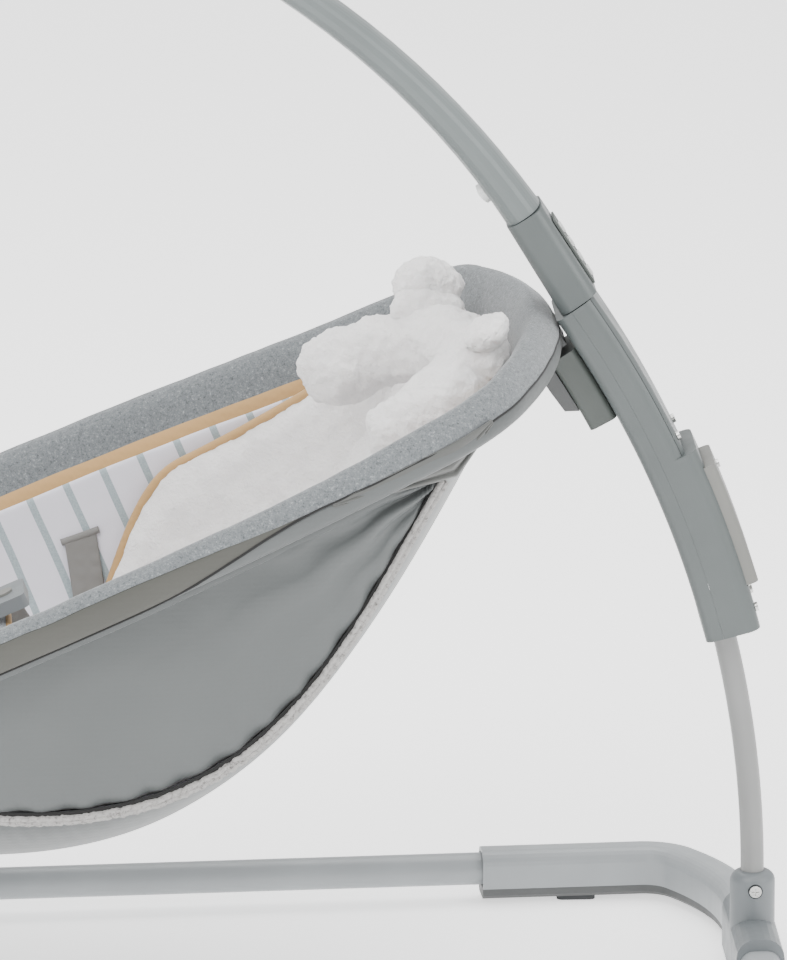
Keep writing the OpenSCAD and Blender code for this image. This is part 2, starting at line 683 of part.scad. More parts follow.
// ---- Fabric solids: a bucket hung from the rim ----
seam_max = 145.6;
function seam_d(s) = s <= 57 || s >= 665 ? 0 :
  seam_max * pow(sin(180 * pow((s - 56.5) / 608.7, 0.888)), 1.5);
function belly_d(s) = s <= 30 || s >= 672 ? 0 :
  seat_depth * pow(sin(180 * pow((s - 30) / 642, 1.142)), 0.831);
function wall_at(s, inset) = rim_y(s, 26.5 + inset);
function wall_low(s, inset) = wall_at(s, inset) * (1 - 0.12 * seam_d(s) / seam_max);
function seam_at(s) = max(seam_d(s), 16);
function bottom_at(s) = max(belly_d(s), seam_at(s) + 5);

// Point of the bucket at distance s from the head: t is -1 and 1 at the rim, -0.5 and 0.5 at the seams
function bucket(s, t, inset, top) =
  let (f = abs(t) * 2 - 1, e = seam_at(s) - inset * 0.35, w0 = wall_low(s, inset), w1 = wall_at(s, inset),
       b = max(bottom_at(s) - inset, e + 1), u = abs(t) * 2)
  f >= 0
    ? [s, sign(t) * (w0 + (w1 - w0) * f + 7 * sin(180 * f) * seam_d(s) / seam_max), -(e + (top - e) * f)]
    : [s, sign(t) * w0 * u, -(e + (b - e) * pow(1 - pow(u, 2.4), 0.75))];

// Closed shell of the bucket between two insets
module bucket_skin(s0, s1, ns, t0, t1, nt, inset, thick, top)
  skin_loft([for (i = [0 : ns]) let (s = s0 + (s1 - s0) * i / ns)
    concat(
      [for (j = [0 : nt]) bucket(s, t0 + (t1 - t0) * j / nt, inset, top)],
      [for (j = [nt : -1 : 0]) bucket(s, t0 + (t1 - t0) * j / nt, inset + thick, top)])]);

panel_t = 3;
module side_panel()
  on_seat() bucket_skin(116, 610, 19, 0.52, 0.99, 4, 0, panel_t, pad_down + 0.8);
module side_panel_left() color(nylon) side_panel();
module side_panel_right() color(nylon) mirror([0, 1, 0]) side_panel();
module bottom_panel()
  color(nylon) on_seat() bucket_skin(38, 636, 23, -0.5, 0.5, 10, 0, panel_t - 1, 0);
module seat_liner()
  color([0.9, 0.9, 0.93]) on_seat() bucket_skin(38, 636, 23, -1, 1, 20, 6.3, 3, -4);
// The pad covers the whole back and narrows to a strip under the hips
function pad_half(s) = s < 275 ? 0.86 : s > 445 ? 0.4 : 0.63 + 0.23 * cos(180 * (s - 275) / 170);
module seat_pad()
  color(plush) on_seat() skin_loft([for (i = [0 : 17]) let (s = 116 + 26 * i, w = pad_half(s))
    concat(
      [for (j = [0 : 10]) bucket(s, w * (j / 5 - 1), 13, 0)],
      [for (j = [10 : -1 : 0]) bucket(s, w * (j / 5 - 1), 26, 0)])]);

// Plush head support: a horseshoe roll with two round ears
module head_support()
  color(plush) on_seat() translate([133, 9, 4.5]) rotate([-8, 0, 13]) {
    rotate_extrude(angle = 210, start = 75) translate([70, 0]) circle(24);
    for (y = [-1, 1]) translate([-76, y * 64, 33]) sphere(20);
    for (y = [-1, 1]) translate([-68, y * 56, 12]) sphere(18);
  }

// Padded restraint that comes up between the legs
restraint_s = 400;
module restraint_pad()
  color(tan) on_seat() translate([restraint_s + 10, 0, -138]) rotate([90, 0, 0])
    rotate_extrude(angle = 86, start = 4) rounded(88, 102, 42, 6.9);

module waist_straps()
  color([0.6, 0.59, 0.58]) on_seat() for (y = [-1, 1])
    hull() {
      translate([restraint_s + 12, y * 43.5, -42]) cube([24, 1, 2], center = true);
      translate([restraint_s - 18, y * 184, -64]) cube([24, 1, 2], center = true);
    }

module buckle()
  color([0.5, 0.52, 0.53]) on_seat() difference() {
    translate([restraint_s + 5, 0, -33.4]) plate(14, 20, 4, 9);
    translate([restraint_s + 5, 0, -32.2]) cylinder(r = 6 + fit, h = 20);
  }

module buckle_button()
  color([0.59, 0.59, 0.56]) on_seat() translate([restraint_s + 5, 0, -29.8]) cylinder(r = 6, h = 7);

rail_left();
rail_right();
front_bar();
corner_left();
corner_right();
corner_foot_left();
corner_foot_right();
foot_pads();
rear_hub();
hub_screw();
post_tube();
tower_left();
tower_right();
housing_front();
housing_rear();
housing_screws();
neck_shell();
control_panel();
indicator_lights();
speaker();
circuit_board();
gear_motor();
drive_belt();
batteries();
battery_contacts();
battery_door();
door_screw();
power_button();
speed_button();
melody_button();
volume_button();
drive_pulley();
idler_pulley();
toy_bar();
toy_crossbar();
release_button();
release_spring();
toy_left();
toy_right();
seat_ring();
arm_left();
arm_right();
pivot_pins();
hanger();
carriage();
slide_shoe();
belt_clamp();
rim_pad();
side_panel_left();
side_panel_right();
bottom_panel();
seat_liner();
seat_pad();
head_support();
restraint_pad();
waist_straps();
buckle();
buckle_button();
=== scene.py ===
"""Looks for the infant seat: fabric, plush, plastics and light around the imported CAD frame."""
import json
import math

import bmesh
import bpy
import numpy as np
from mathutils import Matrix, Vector, noise


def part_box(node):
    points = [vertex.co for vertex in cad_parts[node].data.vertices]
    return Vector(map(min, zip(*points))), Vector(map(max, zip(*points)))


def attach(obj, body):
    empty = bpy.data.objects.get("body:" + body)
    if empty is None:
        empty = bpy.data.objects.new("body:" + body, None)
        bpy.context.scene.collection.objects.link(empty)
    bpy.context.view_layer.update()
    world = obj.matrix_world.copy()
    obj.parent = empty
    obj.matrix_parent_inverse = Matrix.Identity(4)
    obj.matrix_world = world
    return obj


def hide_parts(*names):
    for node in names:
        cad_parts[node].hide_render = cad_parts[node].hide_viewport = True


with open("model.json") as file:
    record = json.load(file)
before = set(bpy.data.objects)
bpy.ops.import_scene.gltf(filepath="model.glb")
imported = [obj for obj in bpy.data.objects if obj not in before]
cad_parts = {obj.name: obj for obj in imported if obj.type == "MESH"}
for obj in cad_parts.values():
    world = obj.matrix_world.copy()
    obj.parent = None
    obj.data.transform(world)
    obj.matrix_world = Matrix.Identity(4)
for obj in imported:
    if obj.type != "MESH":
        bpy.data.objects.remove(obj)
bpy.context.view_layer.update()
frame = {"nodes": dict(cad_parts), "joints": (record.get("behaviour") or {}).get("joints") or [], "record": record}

nodes = frame["nodes"]
joints = {j["name"]: j for j in frame["joints"]}

# ---------------------------------------------------------------- frame sizes, in metres
MM = 0.001
REACH = 694 * MM
PIVOT = Vector(joints["seat_swing"]["pos_m"])
HUB_X = PIVOT.x + REACH
TILT = math.radians(22.9)
HEAD = Vector((HUB_X - 132.5 * MM, 0, 452.7 * MM))
ALONG = Vector((-math.cos(TILT), 0, -math.sin(TILT)))
UP = Vector((-math.sin(TILT), 0, math.cos(TILT)))


def seat_point(s, y, v):
    """World point from seat millimetres: s from the head along the rim, y to the side, v above it."""
    return HEAD + ALONG * (s * MM) + Vector((0, y * MM, 0)) + UP * (v * MM)


# ---------------------------------------------------------------- the rim's outline, in seat millimetres
HEAD_BOW, HEAD_CORNER, SIDE_BOW, FOOT_CORNER, FOOT_BOW = 260, 100, 1200, 140, 250
SEAT_HALF, SEAT_LEN, WIDEST = 221, 674, 420
SEAT_DEPTH, SEAM_MAX = 189, 145.6


def meet(c1, r1, c2, r2, way):
    """Crossing of two circles on the chosen side along s."""
    d = math.dist(c1, c2)
    a = (r1 * r1 - r2 * r2 + d * d) / (2 * d)
    h = math.sqrt(r1 * r1 - a * a)
    u = ((c2[0] - c1[0]) / d, (c2[1] - c1[1]) / d)
    p = (c1[0] + a * u[0] - h * u[1], c1[1] + a * u[1] + h * u[0])
    q = (c1[0] + a * u[0] + h * u[1], c1[1] + a * u[1] - h * u[0])
    return p if way * (p[0] - q[0]) > 0 else q


def aim(c, p):
    return math.atan2(p[1] - c[1], p[0] - c[0])


HEAD_C, SIDE_C, FOOT_C = (HEAD_BOW, 0), (WIDEST, SEAT_HALF - SIDE_BOW), (SEAT_LEN - FOOT_BOW, 0)
HEAD_K = meet(HEAD_C, HEAD_BOW - HEAD_CORNER, SIDE_C, SIDE_BOW - HEAD_CORNER, -1)
FOOT_K = meet(FOOT_C, FOOT_BOW - FOOT_CORNER, SIDE_C, SIDE_BOW - FOOT_CORNER, 1)
A_HEAD, A_SIDE0 = aim(HEAD_C, HEAD_K), aim(SIDE_C, HEAD_K)
A_SIDE1, A_FOOT = aim(SIDE_C, FOOT_K), aim(FOOT_C, FOOT_K)
RIM_ARCS = [(HEAD_C, HEAD_BOW, math.pi, A_HEAD), (HEAD_K, HEAD_CORNER, A_HEAD, A_SIDE0),
            (SIDE_C, SIDE_BOW, A_SIDE0, A_SIDE1), (FOOT_K, FOOT_CORNER, A_SIDE1, A_FOOT),
            (FOOT_C, FOOT_BOW, A_FOOT, 0.0)]


def rim_half_width(s, d=0.0):
    """Half width at s of the curve that lies d inside the rim's outline."""
    for c, r, a0, a1 in RIM_ARCS:
        if s <= c[0] + (r - d) * math.cos(a1) + 1e-9:
            return c[1] + math.sqrt(max(0.0, (r - d) ** 2 - (s - c[0]) ** 2))
    return 0.0


def rim_stations(step=4.0):
    """Points round the rim: (s, y, outward s part, outward y part), head first, +y side first."""
    half = []
    for c, r, a0, a1 in RIM_ARCS:
        n = max(3, int(r * abs(a1 - a0) / step))
        for i in range(n):
            a = a0 + (a1 - a0) * i / n
            half.append((c[0] + r * math.cos(a), c[1] + r * math.sin(a), math.cos(a), math.sin(a)))
    last = (SEAT_LEN, 0.0, 1.0, 0.0)
    other = [(s, -y, ns, -ny) for s, y, ns, ny in reversed(half[1:])]
    return half + [last] + other


def smooth_step(x, lo, hi):
    t = min(1.0, max(0.0, (x - lo) / (hi - lo)))
    return t * t * (3 - 2 * t)


def mix(a, b, t):
    return a + (b - a) * t


def hum(x, y, z, scale):
    """Smooth noise of about -0.5 to 0.5, the same at every run."""
    return 0.5 * noise.noise(Vector((x, y, z)) * scale)


# ---------------------------------------------------------------- the bucket's surface
def seam_depth(s):
    if s <= 57 or s >= 665:
        return 0.0
    return SEAM_MAX * math.sin(math.pi * ((s - 56.5) / 608.7) ** 0.888) ** 1.5


def belly_depth(s):
    if s <= 30 or s >= 672:
        return 0.0
    return SEAT_DEPTH * math.sin(math.pi * ((s - 30) / 642) ** 1.142) ** 0.831


def wall_at(s, inset):
    return rim_half_width(s, 26.5 + inset)


def bucket(s, t, inset, top):
    """Point of the bucket: t is -1 and 1 at the rim, and -0.5 and 0.5 at the seams."""
    f, u, side = abs(t) * 2 - 1, abs(t) * 2, math.copysign(1, t)
    deep = seam_depth(s) / SEAM_MAX
    edge = max(seam_depth(s), 16) - inset * 0.35
    w1 = wall_at(s, inset)
    w0 = w1 * (1 - 0.12 * deep)
    if f >= 0:
        return s, side * (w0 + (w1 - w0) * f + 7 * math.sin(math.pi * f) * deep), -(edge + (top - edge) * f)
    b = max(max(belly_depth(s), max(seam_depth(s), 16) + 5) - inset, edge + 1)
    return s, side * w0 * u, -(edge + (b - edge) * (1 - u ** 2.4) ** 0.75)


# ---------------------------------------------------------------- mesh helpers
def new_object(name, verts, faces, smooth=True):
    mesh = bpy.data.meshes.new(name)
    mesh.from_pydata([tuple(v) for v in verts], [], faces)
    mesh.validate()
    mesh.update()
    obj = bpy.data.objects.new(name, mesh)
    bpy.context.scene.collection.objects.link(obj)
    bm = bmesh.new()
    bm.from_mesh(mesh)
    bmesh.ops.recalc_face_normals(bm, faces=bm.faces)
    bm.to_mesh(mesh)
    bm.free()
    mesh.polygons.foreach_set("use_smooth", [smooth] * len(mesh.polygons))
    return obj


def lattice(name, rows, wrap_rows=False, wrap_cols=False, caps=False):
    """Surface through rows of equal length."""
    m, n = len(rows), len(rows[0])
    verts = [p for row in rows for p in row]
    faces = []
    for i in range(m if wrap_rows else m - 1):
        for j in range(n if wrap_cols else n - 1):
            i2, j2 = (i + 1) % m, (j + 1) % n
            faces.append((i * n + j, i * n + j2, i2 * n + j2, i2 * n + j))
    if caps:
        faces.append(tuple(range(n - 1, -1, -1)))
        faces.append(tuple((m - 1) * n + j for j in range(n)))
    return new_object(name, verts, faces)


def tube(name, points, radius, sides=12, closed=False):
    """Round tube through points; radius may be a function of the share of the way along."""
    pts = [Vector(p) for p in points]
    m = len(pts)
    rows = []
    ref = Vector((0, 0, 1))
    for i, p in enumerate(pts):
        before = pts[(i - 1) % m] if closed or i else pts[0]
        after = pts[(i + 1) % m] if closed or i < m - 1 else pts[-1]
        d = (after - before).normalized()
        side = d.cross(ref)
        side = side.normalized() if side.length > 1e-6 else Vector((0, 1, 0))
        top = side.cross(d).normalized()
        r = radius(i / max(1, m - 1)) if callable(radius) else radius
        rows.append([p + side * (r * math.cos(2 * math.pi * k / sides))
                     + top * (r * math.sin(2 * math.pi * k / sides)) for k in range(sides)])
    return lattice(name, rows, wrap_rows=closed, wrap_cols=True, caps=not closed)


def thicken(obj, thickness, offset=0.0):
    mod = obj.modifiers.new("thickness", "SOLIDIFY")
    mod.thickness = thickness
    mod.offset = offset
    return obj


def subdivide(obj, levels=1):
    mod = obj.modifiers.new("smoothing", "SUBSURF")
    mod.levels = mod.render_levels = levels
    return obj


def move_points(obj, shift):
    """Moves each point by shift(point, normal), a vector."""
    mesh = obj.data
    moved = [v.co + shift(v.co, v.normal) for v in mesh.vertices]
    for v, p in zip(mesh.vertices, moved):
        v.co = p
    mesh.update()


# ---------------------------------------------------------------- materials
def nodes_of(name, color, roughness, metallic=0.0, specular=0.5):
    mat = bpy.data.materials.new(name)
    mat.use_nodes = True
    tree = mat.node_tree
    shader = tree.nodes["Principled BSDF"]
    shader.inputs["Base Color"].default_value = (*color, 1)
    shader.inputs["Roughness"].default_value = roughness
    shader.inputs["Metallic"].default_value = metallic
    shader.inputs["Specular IOR Level"].default_value = specular
    coords = tree.nodes.new("ShaderNodeTexCoord")
    return mat, tree, shader, coords.outputs["Object"]


def add(tree, kind, **values):
    node = tree.nodes.new(kind)
    for key, value in values.items():
        if hasattr(node, key):
            setattr(node, key, value)
        else:
            node.inputs[key.replace("_", " ")].default_value = value
    return node


def noise_node(tree, coords, scale, detail=2.0, rough=0.5):
    node = add(tree, "ShaderNodeTexNoise", Scale=scale, Detail=detail, Roughness=rough)
    tree.links.new(coords, node.inputs["Vector"])
    return node.outputs["Fac"]


def ramp(tree, fac, stops):
    node = tree.nodes.new("ShaderNodeValToRGB")
    tree.links.new(fac, node.inputs["Fac"])
    elements = node.color_ramp.elements
    while len(elements) < len(stops):
        elements.new(0.5)
    for element, (pos, color) in zip(elements, stops):
        element.position = pos
        element.color = (*color, 1)
    return node.outputs["Color"]


def mix_color(tree, fac, a, b):
    node = tree.nodes.new("ShaderNodeMix")
    node.data_type = "RGBA"
    for value, socket in ((fac, node.inputs[0]), (a, node.inputs[6]), (b, node.inputs[7])):
        if isinstance(value, (int, float)):
            socket.default_value = value
        elif isinstance(value, tuple):
            socket.default_value = (*value, 1)
        else:
            tree.links.new(value, socket)
    return node.outputs[2]


def math_node(tree, op, a, b=None, c=None):
    node = tree.nodes.new("ShaderNodeMath")
    node.operation = op
    for value, socket in zip((a, b, c), node.inputs):
        if value is None:
            continue
        if isinstance(value, (int, float)):
            socket.default_value = value
        else:
            tree.links.new(value, socket)
    return node.outputs[0]


def bump(tree, shader, heights):
    """Chains bumps: heights is a list of (height socket, depth in metres)."""
    normal = None
    for height, depth in heights:
        node = add(tree, "ShaderNodeBump", Strength=1.0, Distance=depth)
        tree.links.new(height, node.inputs["Height"])
        if normal:
            tree.links.new(normal, node.inputs["Normal"])
        normal = node.outputs["Normal"]
    tree.links.new(normal, shader.inputs["Normal"])


def shade(color, k):
    return tuple(min(1.0, c * k) for c in color)


def plastic(name, color, roughness=0.38, grain=1800, depth=0.00006, wear=0.06):
    """Moulded plastic: fine spark-erosion grain, faint clouding and a slightly uneven gloss."""
    mat, tree, shader, coords = nodes_of(name, color, roughness)
    cloud = noise_node(tree, coords, 14, 3)
    tint = ramp(tree, cloud, [(0.3, shade(color, 1 - wear)), (0.7, shade(color, 1 + wear))])
    tree.links.new(tint, shader.inputs["Base Color"])
    gloss = noise_node(tree, coords, 60, 4)
    low, high = roughness - 0.05, roughness + 0.07
    tree.links.new(ramp(tree, gloss, [(0.3, (low,) * 3), (0.7, (high,) * 3)]), shader.inputs["Roughness"])
    bump(tree, shader, [(noise_node(tree, coords, grain, 1), depth), (cloud, 0.0003)])
    return mat


def metal(name, color, roughness=0.3):
    mat, tree, shader, coords = nodes_of(name, color, roughness, metallic=1.0)
    grain = noise_node(tree, coords, 900, 3)
    tree.links.new(ramp(tree, grain, [(0.35, shade(color, 0.85)), (0.65, shade(color, 1.1))]),
                   shader.inputs["Base Color"])
    bump(tree, shader, [(grain, 0.00003)])
    return mat


def heather(name, light, dark, fleck, depth=0.0005):
    """Marl jersey: mixed light and dark fibres with knitted loops."""
    mat, tree, shader, coords = nodes_of(name, light, 0.92, specular=0.25)
    shader.inputs["Sheen Weight"].default_value = 0.35
    shader.inputs["Sheen Roughness"].default_value = 0.5
    fine = noise_node(tree, coords, 950, 3, 0.7)
    coarse = noise_node(tree, coords, 380, 2, 0.6)
    mixed = math_node(tree, "MULTIPLY_ADD", fine, 0.62, math_node(tree, "MULTIPLY", coarse, 0.38))
    color = ramp(tree, mixed, [(0.34, dark), (0.46, shade(light, 0.85)), (0.56, light), (0.7, fleck)])
    tree.links.new(color, shader.inputs["Base Color"])
    bump(tree, shader, [(mixed, depth)])
    return mat


def woven(name, color, roughness=0.5, pitch=0.0006, depth=0.00005, sheen=0.15):
    """Plain-weave fabric with large soft patches in its colour."""
    mat, tree, shader, coords = nodes_of(name, color, roughness, specular=0.35)
    shader.inputs["Sheen Weight"].default_value = sheen
    cloud = noise_node(tree, coords, 9, 2)
    tint = ramp(tree, cloud, [(0.3, shade(color, 0.94)), (0.7, shade(color, 1.05))])
    tree.links.new(tint, shader.inputs["Base Color"])
    threads = []
    for axis in ("X", "Z"):
        wave = add(tree, "ShaderNodeTexWave", wave_type="BANDS", bands_direction=axis, Scale=1 / pitch / 20,
                   Distortion=0.6, Detail=1.0)
        tree.links.new(coords, wave.inputs["Vector"])
        threads.append(wave.outputs["Fac"])
    weave = math_node(tree, "MULTIPLY", threads[0], threads[1])
    bump(tree, shader, [(weave, depth), (noise_node(tree, coords, 45, 3), 0.0006)])
    return mat


def plush(name, color):
    """Short pile: soft white clumps with strong sheen."""
    mat, tree, shader, coords = nodes_of(name, color, 0.95, specular=0.15)
    shader.inputs["Sheen Weight"].default_value = 0.6
    shader.inputs["Sheen Roughness"].default_value = 0.6
    shader.inputs["Subsurface Weight"].default_value = 0.12
    shader.inputs["Subsurface Radius"].default_value = (0.006, 0.005, 0.005)
    shader.inputs["Subsurface Scale"].default_value = 1.0
    pile = noise_node(tree, coords, 420, 4, 0.75)
    clumps = noise_node(tree, coords, 90, 3, 0.6)
    tint = ramp(tree, clumps, [(0.3, shade(color, 0.93)), (0.65, color)])
    tree.links.new(tint, shader.inputs["Base Color"])
    bump(tree, shader, [(clumps, 0.003), (pile, 0.0016)])
    return mat


def striped(name, ground, stripe, pitch, width, phase):
    """Printed jersey whose stripes run across the seat at equal steps along its length."""
    mat, tree, shader, coords = nodes_of(name, ground, 0.85, specular=0.25)
    shader.inputs["Sheen Weight"].default_value = 0.25
    dot = tree.nodes.new("ShaderNodeVectorMath")
    dot.operation = "DOT_PRODUCT"
    dot.inputs[1].default_value = tuple(ALONG)
    tree.links.new(coords, dot.inputs[0])
    start = -HEAD.dot(ALONG) + phase
    wobble = math_node(tree, "MULTIPLY", noise_node(tree, coords, 20, 1), 0.002)
    place = math_node(tree, "ADD", math_node(tree, "ADD", dot.outputs["Value"], start), wobble)
    share = math_node(tree, "FRACT", math_node(tree, "DIVIDE", place, pitch))
    inside = math_node(tree, "LESS_THAN", share, width / pitch)
    knit = noise_node(tree, coords, 900, 2)
    ink = ramp(tree, knit, [(0.3, shade(stripe, 0.86)), (0.7, shade(stripe, 1.1))])
    cloth = ramp(tree, noise_node(tree, coords, 30, 2), [(0.3, shade(ground, 0.96)), (0.7, ground)])
    tree.links.new(mix_color(tree, inside, cloth, ink), shader.inputs["Base Color"])
    bump(tree, shader, [(knit, 0.0001), (noise_node(tree, coords, 35, 2), 0.0012)])
    return mat


def gathered(name, light, dark):
    """Raw gathered seam: crowded pale ruffles, with painted shade in the gaps between them and a painted highlight
    on their crests.
    """
    mat, tree, shader, coords = nodes_of(name, light, 0.9, specular=0.2)
    ruffle = noise_node(tree, coords, 380, 4, 0.8)
    # colour follows the ruffle relief: the dark stop is painted shade in the gaps, the brightest stop a painted
    # highlight on the crests
    tree.links.new(ramp(tree, ruffle, [(0.3, dark), (0.46, light), (0.75, shade(light, 1.3))]),
                   shader.inputs["Base Color"])
    bump(tree, shader, [(ruffle, 0.0014)])
    return mat


MATERIALS = {
    "housing_shell": plastic("housing_plastic", (0.081, 0.093, 0.092), 0.36),
    "bar_shell": plastic("bar_plastic", (0.128, 0.147, 0.146), 0.33),
    "hub_shell": plastic("hub_plastic", (0.139, 0.153, 0.16), 0.4),
    "light_shell": plastic("rail_plastic", (0.3, 0.318, 0.328), 0.35),
    "dark_shell": plastic("dark_plastic", (0.078, 0.081, 0.081), 0.5),
    "black_shell": plastic("bracket_plastic", (0.068, 0.078, 0.072), 0.5),
    "door_shell": plastic("door_plastic", (0.156, 0.156, 0.144), 0.42),
    "pale_shell": plastic("pale_plastic", (0.68, 0.69, 0.68), 0.35),
    "light_pipe": plastic("light_pipe_plastic", (0.25, 0.6, 0.3), 0.2),
    "circuit": plastic("board_laminate", (0.03, 0.16, 0.07), 0.4),
    "rubber_pad": plastic("foot_rubber", (0.05, 0.052, 0.055), 0.75, grain=900, depth=0.0001),
    "belt_rubber": plastic("belt_rubber_skin", (0.02, 0.02, 0.022), 0.7, grain=900, depth=0.0001),
    "cell_jacket": metal("cell_wrap", (0.6, 0.42, 0.16), 0.35),
    "post_paint": plastic("post_powder_coat", (0.216, 0.218, 0.214), 0.34, grain=1300, depth=0.00008),
    "steel": metal("zinc_steel", (0.62, 0.62, 0.6), 0.32),
    "heather_fabric": heather("heather_jersey", (0.15, 0.163, 0.17), (0.052, 0.06, 0.064),
                              (0.31, 0.325, 0.33)),
    "grey_nylon": woven("grey_nylon_weave", (0.085, 0.092, 0.092), 0.4),
    "flap": woven("flap_weave", (0.068, 0.07, 0.066), 0.5),
    "band": woven("band_weave", (0.058, 0.058, 0.05), 0.5),
    # near-black cloth that is painted shade for the shadowed gaps under the rim band and along the side seams
    "dark_thread": woven("painted_shade_cloth", (0.012, 0.012, 0.012), 0.9),
    "striped_liner": striped("striped_jersey", (0.66, 0.65, 0.71), (0.3, 0.355, 0.375),
                             0.0266, 0.005, -0.0052),
    "tan": woven("tan_twill", (0.404, 0.245, 0.099), 0.75, pitch=0.0009, depth=0.0002, sheen=0.2),
    "white_plush": plush("white_pile", (0.88, 0.86, 0.85)),
    "grey_plush": plush("grey_pile", (0.42, 0.46, 0.5)),
    "restraint_fabric": heather("restraint_jersey", (0.2, 0.224, 0.248), (0.088, 0.104, 0.12),
                                (0.336, 0.352, 0.368)),
    "webbing": woven("webbing_tape", (0.164, 0.16, 0.152), 0.8, pitch=0.0016, depth=0.0004),
    # second colour: painted shade for the gaps between the ruffles
    "gathered": gathered("gathered_seam", (0.34, 0.33, 0.32), (0.09, 0.085, 0.08)),
}


def paint(obj, key):
    obj.data.materials.clear()
    obj.data.materials.append(MATERIALS[key])


def finish_piece(obj, key, body, slot, *stands_for):
    """Gives a made piece its material and body; the slot argument is not used."""
    paint(obj, key)
    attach(obj, body)
    if stands_for:
        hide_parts(*stands_for)
    return obj


def paint_cad_nodes():
    """Gives every carried-over CAD node the detailed material of its slot."""
    slots = {row["node"]: row["material_slot"] for row in frame["record"]["subparts"]}
    for name, obj in nodes.items():
        paint(obj, slots[name])


paint_cad_nodes()


# ---------------------------------------------------------------- seat fabric
def head_share(s):
    """1 at the head end of the seat, 0 from a third of the way down."""
    return 1 - smooth_step(s, 30, 190)


def roll_outline(s):
    """Rim section as (inset, height) pairs, from the outer wall's foot over the roll to the inner foot."""
    h = head_share(s)
    return [(5.0, -15.5), (2.6, -13), (1.4, -9), (0.7, -4), (0.5, 1.0), (1.6, 5.0 + h), (4.6, 8.3 + 3 * h),
            (9.0, 10.2 + 6 * h), (14.0, 9.2 + 6 * h), (19.0 + h, 5.6 + 5 * h), (23.0 + 4 * h, -0.6 + 4 * h),
            (26.0 + 6 * h, -8.0 + 4 * h), (28.5 + 7 * h, -13.5 + 5 * h)]


def corner_pull(y, ns, ny):
    """Outward and upward pull, in millimetres, of the sleeve at the two corners of the head end."""
    share = max(0.0, -2 * ns * abs(ny)) ** 2
    return (9.0 * share, 6.0 * share) if y > 0 else (-3.0 * share, -3.0 * share)


def rim_rows(step, part, lift=0.0):
    """Rows round the rim through the section's points that part(s) picks, as places along the section."""
    rows = []
    for s, y, ns, ny in rim_stations(step):
        outline = roll_outline(s)
        wave, fine = hum(s, y, 0, 0.018), hum(s, y, 9, 0.06)
        out, rise = corner_pull(y, ns, ny)
        row = []
        for k in part(s):
            i = min(int(k), len(outline) - 2)
            u = mix(outline[i][0], outline[i + 1][0], k - i)
            v = mix(outline[i][1], outline[i + 1][1], k - i)
            roll = math.sin(math.pi * min(1, k / 12))
            u += (1.4 * wave + 0.7 * fine) * roll - lift - out * (0.4 + 0.6 * roll)
            v += (1.5 * wave + 0.8 * fine + rise) * roll
            row.append(seat_point(s - ns * u, y - ny * u, v))
        rows.append(row)
    return rows


def heather_foot(s):
    """Place on the section where the heather jersey ends on the outer wall: higher towards the foot."""
    return mix(3.3, 4.7, smooth_step(s, 140, 330))


def make_rim_cover():
    """Heather sleeve over the ring: a roll along the outer edge and a face that slopes in to the tape."""
    rows = rim_rows(3.0, lambda s: [mix(heather_foot(s), 12, i / 30) for i in range(31)])
    cover = lattice("rim_cover", rows, wrap_rows=True)
    thicken(cover, 0.0016, 0)
    return finish_piece(cover, "heather_fabric", "seat", "heather_fabric", "rim_pad")


TAPE_SECTION = ((-1.0, 1.0), (1.0, -0.8), (2.6, -3.4), (3.8, -6.6), (4.4, -9.6), (3.6, -11.0))


def make_rim_tape():
    """Tan twill tape between the heather sleeve and the liner."""
    rows = []
    for s, y, ns, ny in rim_stations(4.0):
        h = head_share(s)
        out, _ = corner_pull(y, ns, ny)
        u0, v0 = 28.6 + 6 * h - 0.4 * out, -12.8 + 5.2 * h
        wave = 0.6 * hum(s, y, 3, 0.03)
        slant = 1 + 1.3 * h
        rows.append([seat_point(s - ns * (u0 + u * slant), y - ny * (u0 + u * slant), v0 + v + wave)
                     for u, v in TAPE_SECTION])
    tape = lattice("rim_tape", rows, wrap_rows=True)
    thicken(tape, 0.0012, 0)
    subdivide(tape, 1)
    return finish_piece(tape, "tan", "seat", "restraint_fabric")


BAND_MEET, BAND_FULL = 172, 315
FLAP_END = 58


def line_place(s):
    """Place of the painted shade line on the section: the heather's edge near the head, the foot further down."""
    return mix(heather_foot(s) - 0.05, 0.05, smooth_step(s, BAND_MEET, BAND_FULL))


def make_rim_band():
    """Smooth band below the roll on the outer wall, with a near-black tube along its lower edge that is painted
    shade for the gap below the band.
    """
    rows = rim_rows(4.0, lambda s: [mix(line_place(s), heather_foot(s) + 0.12, i / 10) for i in range(11)],
                    lift=-0.3)
    band = lattice("rim_band", rows, wrap_rows=True)
    thicken(band, 0.0012, 0)
    finish_piece(band, "band", "seat", "grey_nylon")
    rows = rim_rows(4.0, lambda s: [mix(0.0, line_place(s), i / 8) for i in range(9)], lift=-0.6)
    skirt = lattice("rim_skirt", rows, wrap_rows=True)
    thicken(skirt, 0.001, 0)
    finish_piece(skirt, "grey_nylon", "seat", "grey_nylon")
    # near-black tube along the band's lower edge: painted shade for the shadowed gap under the band
    line = rim_rows(4.0, lambda s: [line_place(s)], lift=0.5)
    shade_line = tube("rim_edge_shade_line", [row[0] for row in line], 0.0009, 8, closed=True)
    finish_piece(shade_line, "dark_thread", "seat", "grey_nylon")


